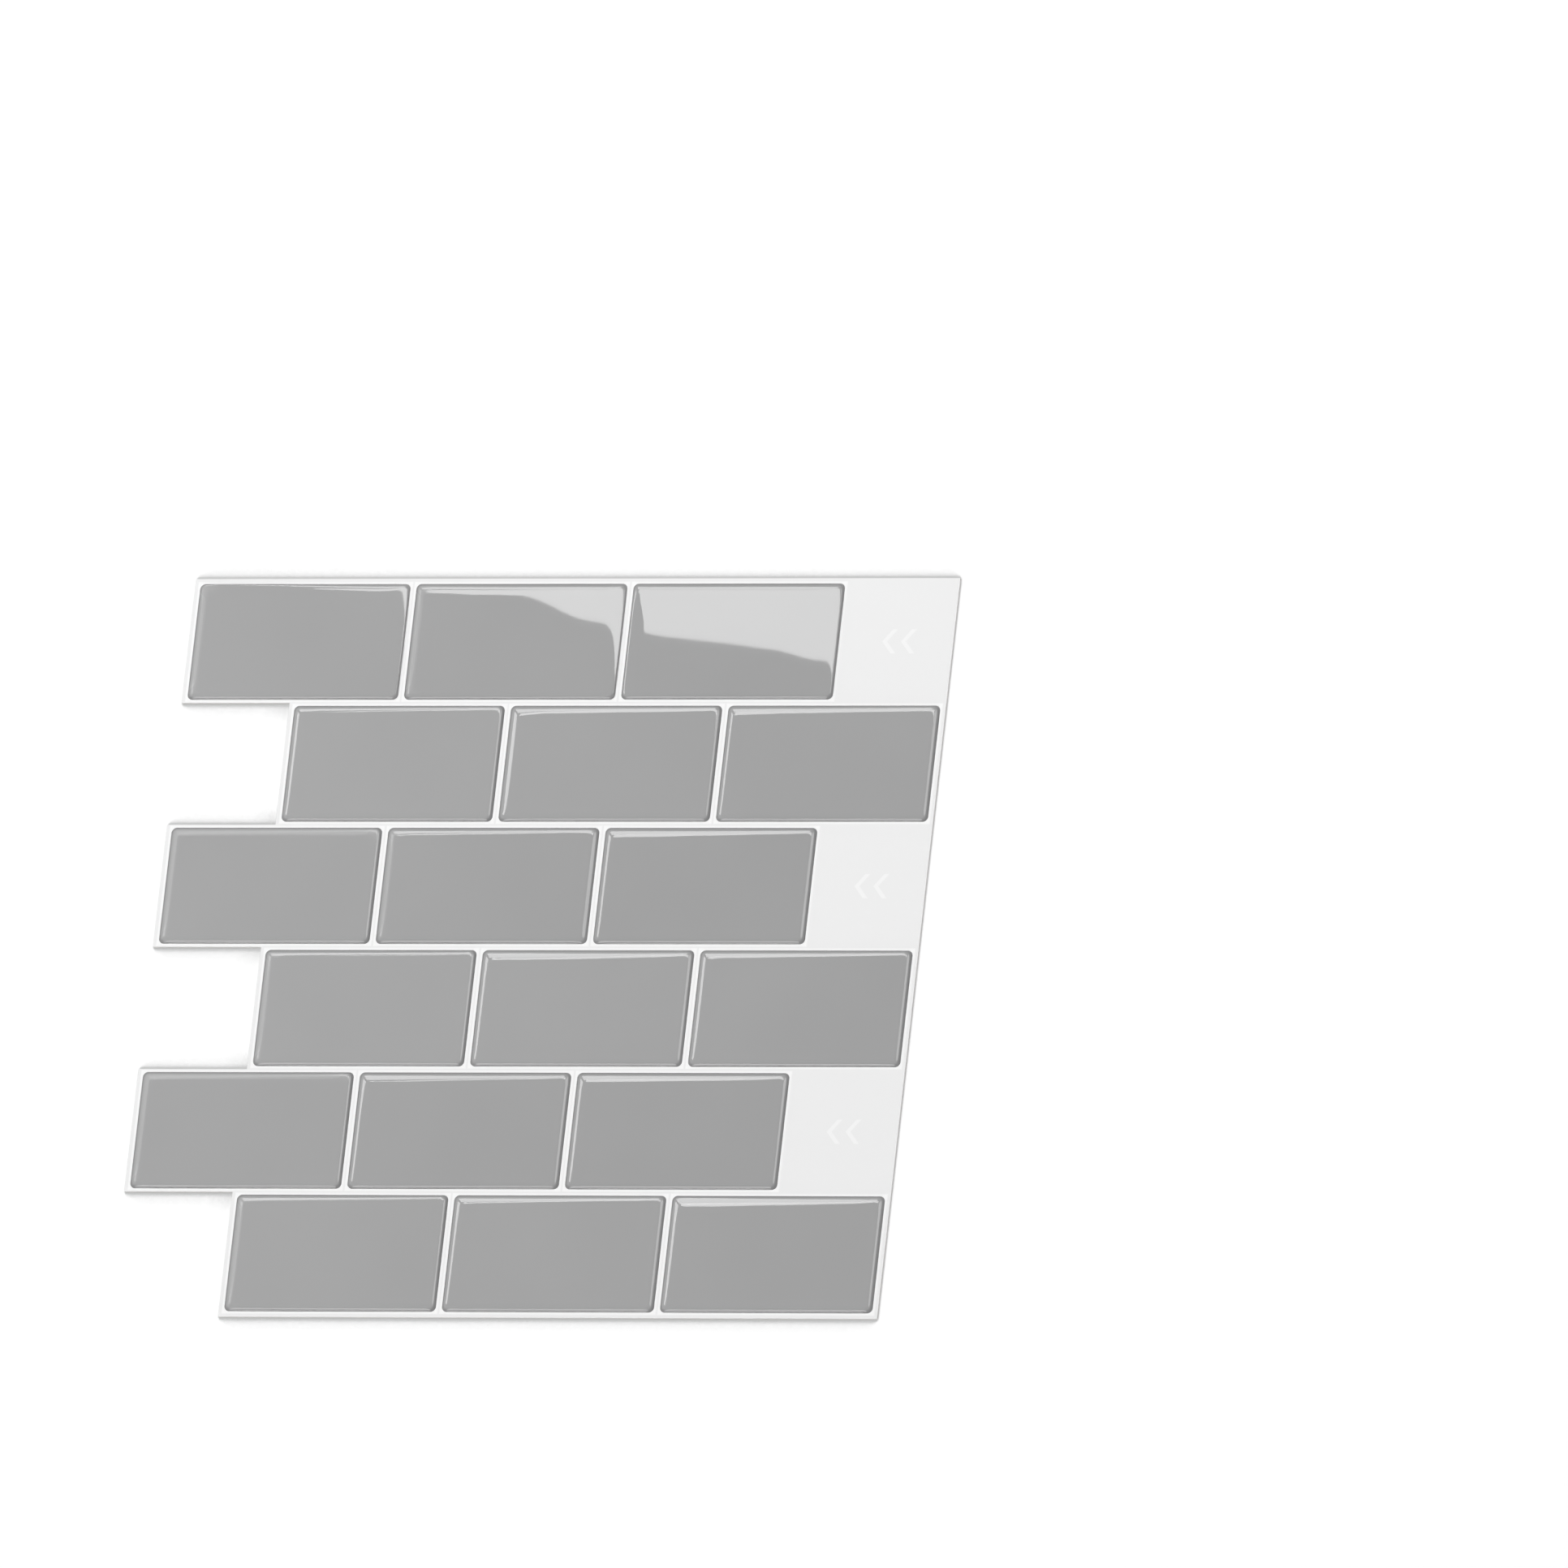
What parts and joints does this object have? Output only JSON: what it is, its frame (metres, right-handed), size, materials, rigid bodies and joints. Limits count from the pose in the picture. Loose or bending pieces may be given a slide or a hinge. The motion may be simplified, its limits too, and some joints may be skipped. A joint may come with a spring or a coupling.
{
  "type": "peel and stick backsplash tile",
  "caption": "Flexible self-adhesive wall tile sheet: glossy grey gel bricks in running bond on a white film, with notches and bare tabs that lap onto the next sheet.",
  "frame": {"origin": "centre of the sheet's outline on the release liner's back, which lies on the floor", "axes": "+X along the rows towards the bare tabs, +Y up the sheet towards the first row, +Z out of the gel face"},
  "size_m": [0.3048, 0.2934, 0.002],
  "materials": {
    "gel": "cast clear gel over a grey print, glossy",
    "film": "white, semi-matte",
    "adhesive": "pressure-sensitive adhesive coat",
    "liner": "smooth release-coated paper"
  },
  "bodies": {
    "root": {"face_film": "film", "adhesive_layer": "adhesive", "release_liner": "liner", "gel_tile_row_1_column_1": "gel", "gel_tile_row_1_column_2": "gel", "gel_tile_row_1_column_3": "gel", "gel_tile_row_2_column_1": "gel", "gel_tile_row_2_column_2": "gel", "gel_tile_row_2_column_3": "gel", "gel_tile_row_3_column_1": "gel", "gel_tile_row_3_column_2": "gel", "gel_tile_row_3_column_3": "gel", "gel_tile_row_4_column_1": "gel", "gel_tile_row_4_column_2": "gel", "gel_tile_row_4_column_3": "gel", "gel_tile_row_5_column_1": "gel", "gel_tile_row_5_column_2": "gel", "gel_tile_row_5_column_3": "gel", "gel_tile_row_6_column_1": "gel", "gel_tile_row_6_column_2": "gel", "gel_tile_row_6_column_3": "gel"}
  },
  "joints": []
}
